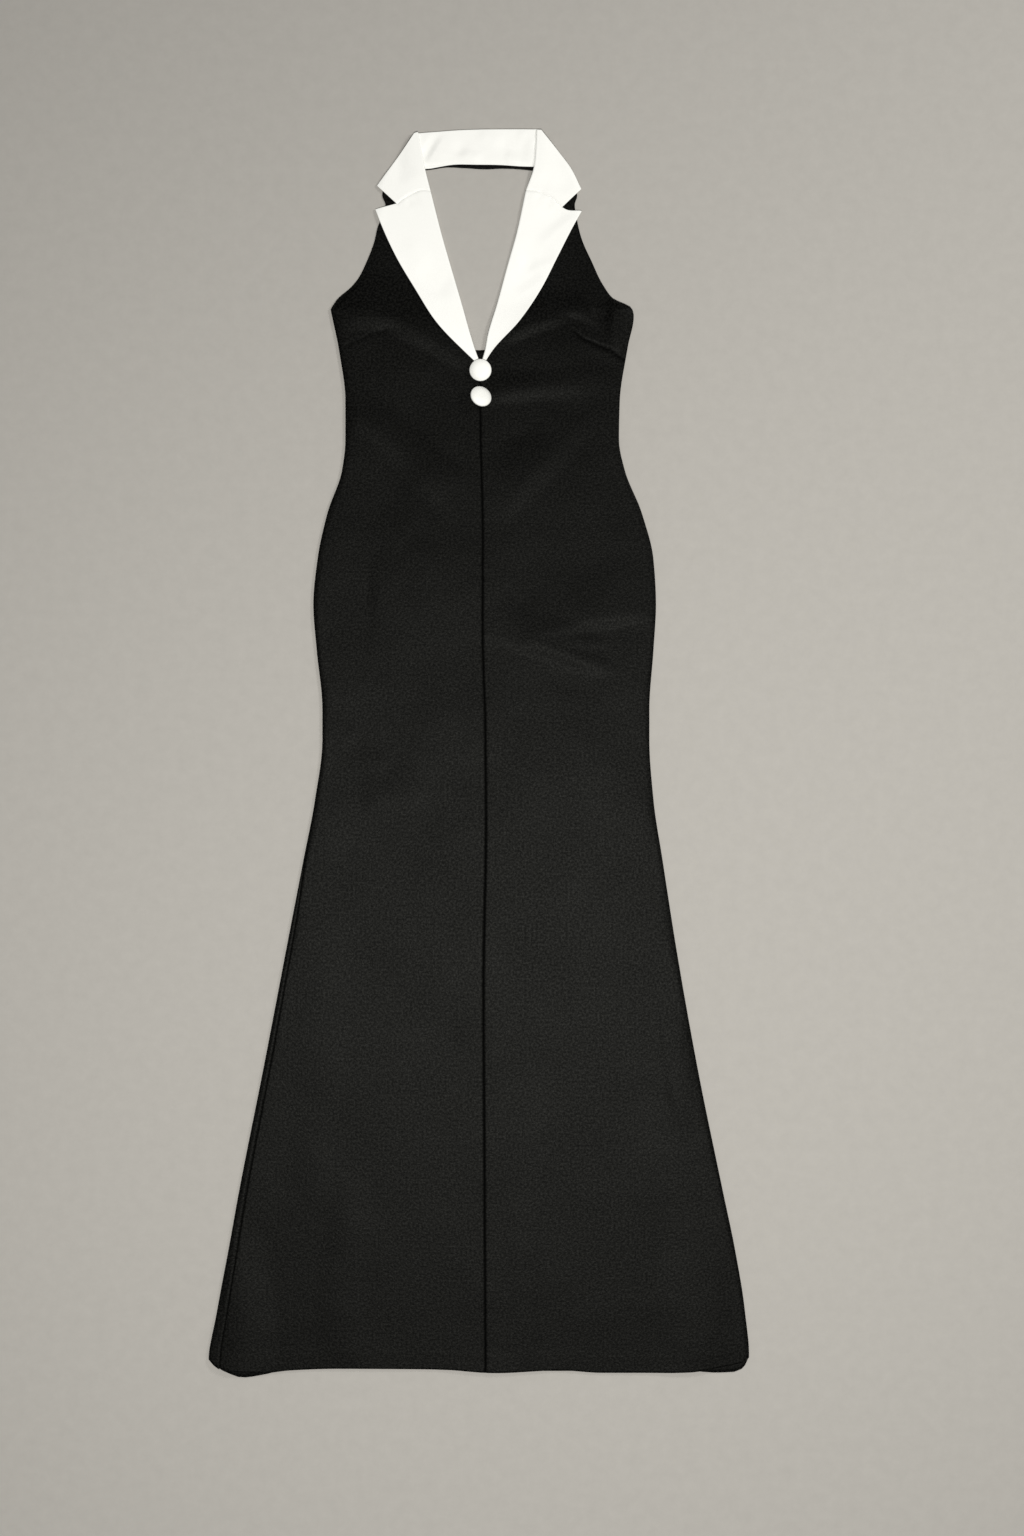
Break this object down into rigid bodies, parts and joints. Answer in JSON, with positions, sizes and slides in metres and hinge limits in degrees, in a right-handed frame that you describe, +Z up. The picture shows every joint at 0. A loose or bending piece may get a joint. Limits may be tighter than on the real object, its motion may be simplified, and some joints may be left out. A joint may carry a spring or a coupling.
{
  "type": "halter dress",
  "caption": "Floor-length fit-and-flare halter dress laid flat, face up, with a centre-front seam, bust darts, notched white collar and lapels, a low back and covered buttons.",
  "frame": {"origin": "bottom centre of the laid dress, on the surface that it lies on", "axes": "+Z up from the surface, +Y from the hem to the collar, +X to the right as one looks down on the front of the dress"},
  "size_m": [0.6572, 1.5169, 0.0206],
  "materials": {
    "black_cloth": "matte black stretch crepe knit with a fine grain and a faint broad sheen",
    "white_cloth": "warm white crepe, two layers with a stiffener, matte",
    "button_cloth": "smooth warm white satin-back cloth drawn tight over the button"
  },
  "bodies": {
    "root": {"back": "black_cloth", "front_left": "black_cloth", "front_right": "black_cloth", "under_band": "black_cloth", "neck_band": "white_cloth", "collar_left": "white_cloth", "collar_right": "white_cloth", "lapel_left": "white_cloth", "lapel_right": "white_cloth", "button_upper": "button_cloth", "button_lower": "button_cloth"}
  },
  "joints": []
}
